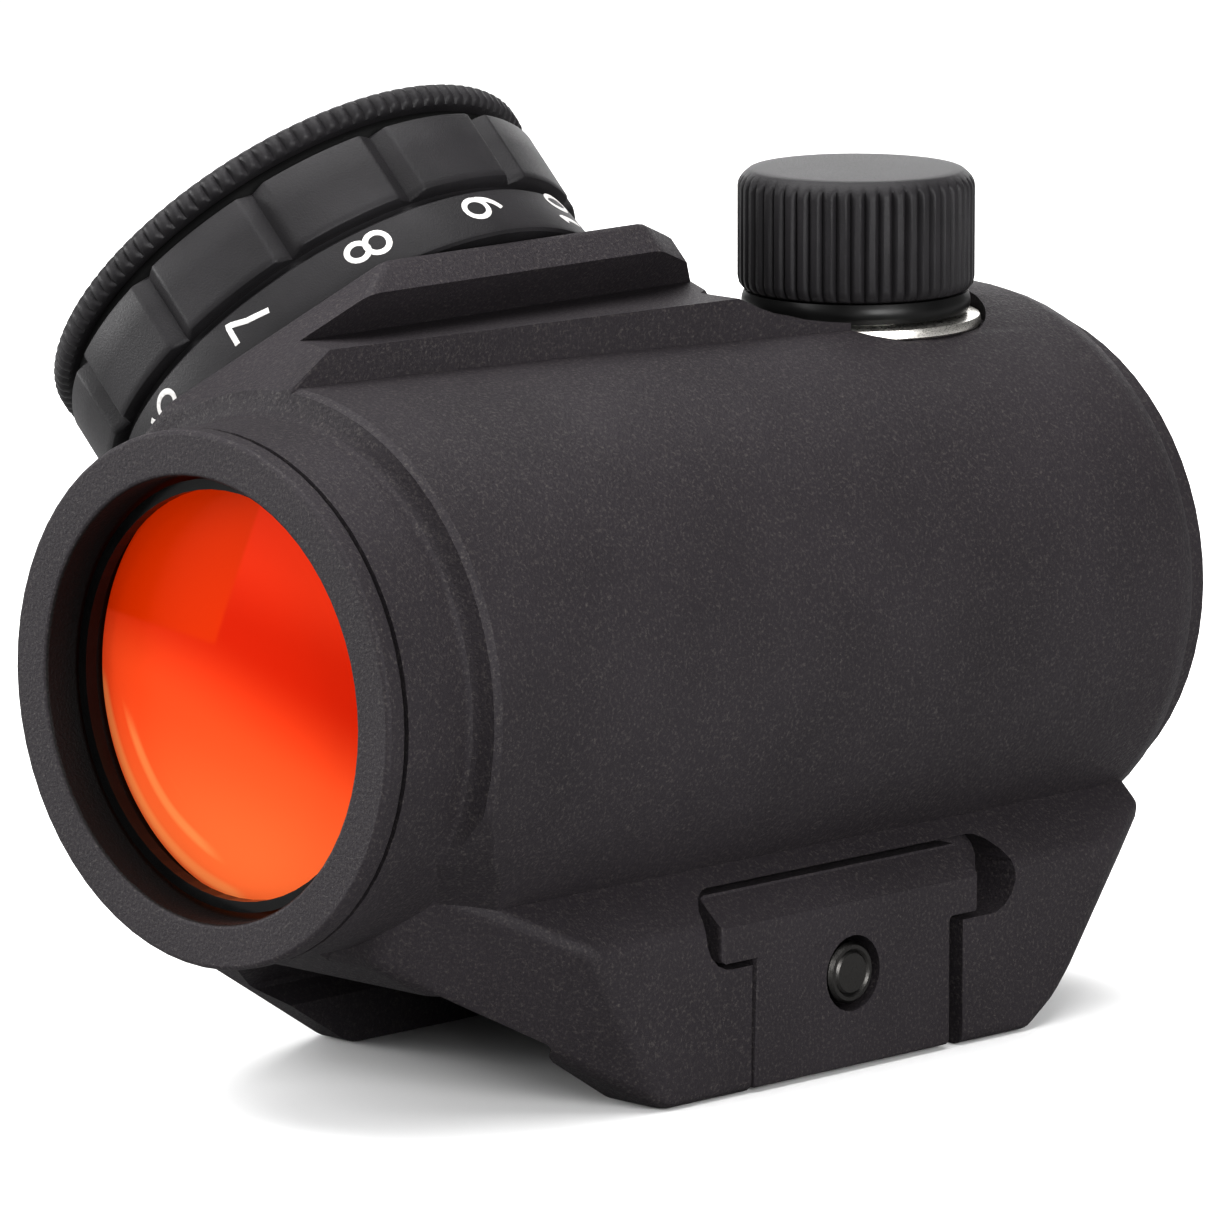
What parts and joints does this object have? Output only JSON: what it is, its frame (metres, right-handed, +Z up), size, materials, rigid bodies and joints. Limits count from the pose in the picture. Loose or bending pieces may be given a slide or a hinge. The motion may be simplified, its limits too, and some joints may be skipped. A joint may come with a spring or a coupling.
{
  "type": "compact tube red dot sight",
  "caption": "Compact tube red dot sight with integral rail clamp, angled rotary brightness dial over its coin cell, and screw-capped elevation and windage turrets.",
  "frame": {"origin": "centre of the flat rail seat, where the base rests on the top of the rail", "axes": "+Y runs back along the optical axis from the front lens to the rear lens, +Z is up away from the rail, +X points to the side of the movable clamp plate"},
  "size_m": [0.0444, 0.062, 0.0515],
  "materials": {
    "anodised": "matte black hard anodising with a fine bead-blasted grain",
    "cap_black": "satin black anodising",
    "gloss_black": "glossy black",
    "rubber": "black rubber with a soft sheen",
    "bright_metal": "bare turned metal",
    "steel": "plain steel",
    "brass": "turned brass",
    "lens_coating": "glass with an orange-red reflective coating",
    "rear_glass": "clear coated glass",
    "board": "green board",
    "led_red": "red emitter"
  },
  "bodies": {
    "housing": {"main_body": "anodised", "front_bezel_ring": "anodised", "front_lens_seal": "gloss_black", "objective_lens": "lens_coating", "elevation_seat": "bright_metal", "windage_seat": "bright_metal", "clamp_washer": "steel", "rear_bezel_ring": "anodised", "ocular_lens": "rear_glass", "rear_lens_seal": "gloss_black", "bias_spring": "steel", "dial_spindle": "steel", "dial_retaining_ring": "steel", "switch_board": "board", "detent_ball": "steel", "detent_spring": "steel"},
    "dial": {"brightness_dial": "cap_black", "contact_wiper": "brass", "coin_cell": "steel", "battery_contact": "brass"},
    "battery_cover_seal": {"battery_cap_seal": "rubber"},
    "battery_cover": {"battery_cap": "cap_black"},
    "elevation_cover_seal": {"elevation_gasket": "rubber"},
    "elevation_cover": {"elevation_cap": "cap_black"},
    "windage_cover_seal": {"windage_gasket": "rubber"},
    "windage_cover": {"windage_cap": "cap_black"},
    "elevation_screw": {"elevation_adjuster": "brass"},
    "windage_screw": {"windage_adjuster": "brass"},
    "gimbal": {"gimbal_ring": "steel"},
    "optics": {"inner_tube": "cap_black", "led_emitter": "led_red", "led_bracket": "steel"},
    "cross_screw": {"clamp_screw": "steel"},
    "jaw": {"clamp_plate": "anodised"}
  },
  "joints": [
    {"name": "dial_turn", "type": "hinge", "parent": "housing", "child": "dial", "pos_m": [-0.01414, -0.0068, 0.02994], "axis": [0.7071, 0, -0.7071], "range_deg": [0, 330]},
    {"name": "battery_cover_lift", "type": "slide", "parent": "dial", "child": "battery_cover_seal", "axis": [-0.7071, 0, 0.7071], "range_m": [0, 0.002]},
    {"name": "battery_cover_turn", "type": "hinge", "parent": "battery_cover_seal", "child": "battery_cover", "pos_m": [-0.01838, -0.0068, 0.03419], "axis": [-0.7071, 0, 0.7071], "range_deg": [0, 720]},
    {"name": "elevation_cover_lift", "type": "slide", "parent": "housing", "child": "elevation_cover_seal", "axis": [0, 0, 1], "range_m": [0, 0.002]},
    {"name": "elevation_cover_turn", "type": "hinge", "parent": "elevation_cover_seal", "child": "elevation_cover", "pos_m": [0, 0.01805, 0.0358], "axis": [0, 0, 1], "range_deg": [0, 720]},
    {"name": "windage_cover_lift", "type": "slide", "parent": "housing", "child": "windage_cover_seal", "axis": [-1, 0, 0], "range_m": [0, 0.002]},
    {"name": "windage_cover_turn", "type": "hinge", "parent": "windage_cover_seal", "child": "windage_cover", "pos_m": [-0.02, 0.01805, 0.0158], "axis": [-1, 0, 0], "range_deg": [0, 720]},
    {"name": "optics_pitch", "type": "hinge", "parent": "housing", "child": "gimbal", "pos_m": [0, -0.0175, 0.0158], "axis": [1, 0, 0], "range_deg": [-0.6, 0.6]},
    {"name": "optics_yaw", "type": "hinge", "parent": "gimbal", "child": "optics", "pos_m": [0, -0.0175, 0.0158], "axis": [0, 0, 1], "range_deg": [-0.6, 0.6]},
    {"name": "elevation_adjust", "type": "hinge", "parent": "housing", "child": "elevation_screw", "pos_m": [0, 0.01805, 0.0318], "axis": [0, 0, 1], "range_deg": [-360, 360]},
    {"name": "windage_adjust", "type": "hinge", "parent": "housing", "child": "windage_screw", "pos_m": [-0.016, 0.01805, 0.0158], "axis": [-1, 0, 0], "range_deg": [-360, 360]},
    {"name": "clamp_jaw_slide", "type": "slide", "parent": "housing", "child": "jaw", "axis": [1, 0, 0], "range_m": [0, 0.0014]},
    {"name": "clamp_screw_turn", "type": "hinge", "parent": "housing", "child": "cross_screw", "pos_m": [0, 0.0032, -0.00165], "axis": [-1, 0, 0], "range_deg": [0, 720]}
  ],
  "couplings": [
    {"joint": "battery_cover_turn", "follows": "battery_cover_lift", "rad_per_m": 6283.1},
    {"joint": "elevation_cover_turn", "follows": "elevation_cover_lift", "rad_per_m": 6283.1},
    {"joint": "windage_cover_turn", "follows": "windage_cover_lift", "rad_per_m": 6283.1},
    {"joint": "elevation_adjust", "follows": "optics_pitch", "ratio": 599.99},
    {"joint": "windage_adjust", "follows": "optics_yaw", "ratio": -599.99},
    {"joint": "clamp_screw_turn", "follows": "clamp_jaw_slide", "rad_per_m": 8975.9}
  ]
}
